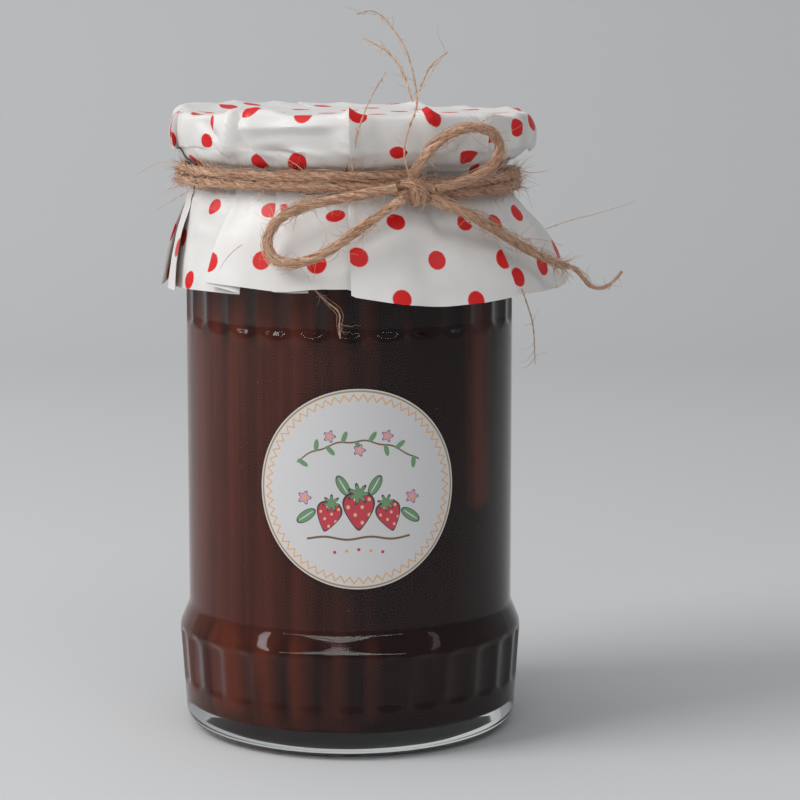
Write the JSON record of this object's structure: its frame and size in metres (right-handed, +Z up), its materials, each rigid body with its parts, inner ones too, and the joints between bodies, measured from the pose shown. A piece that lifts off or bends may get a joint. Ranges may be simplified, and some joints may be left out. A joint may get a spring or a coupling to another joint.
{
  "type": "jar of strawberry jam",
  "caption": "Ribbed glass jar of dark strawberry jam with a pleated polka-dot paper cover tied over the lid with jute twine, and a round label.",
  "frame": {"origin": "centre of the ring that the jar stands on", "axes": "+Z up along the jar's axis, -Y out of the front with the label, +X to the right of the front"},
  "size_m": [0.1198, 0.1061, 0.1879],
  "materials": {
    "glass": "clear pressed glass with flutes",
    "jam": "dark maroon, smooth and wet",
    "lid_metal": "lacquered tinplate",
    "cover_paper": "coated white paper with red dots, creased",
    "label_paper": "smooth white sticker with a gold rim",
    "twine": "hairy twisted jute"
  },
  "bodies": {
    "root": {"jar_glass": "glass", "jam": "jam", "lid": "lid_metal", "cover": "cover_paper", "label": "label_paper", "twine_wraps": "twine", "twine_knot": "twine", "bow_loop_right": "twine", "bow_loop_left": "twine", "twine_tail": "twine", "tail_curl": "twine", "strand_tall": "twine", "strand_left": "twine", "strand_right": "twine", "strand_short": "twine", "strand_low": "twine", "strand_hem": "twine"}
  },
  "joints": []
}
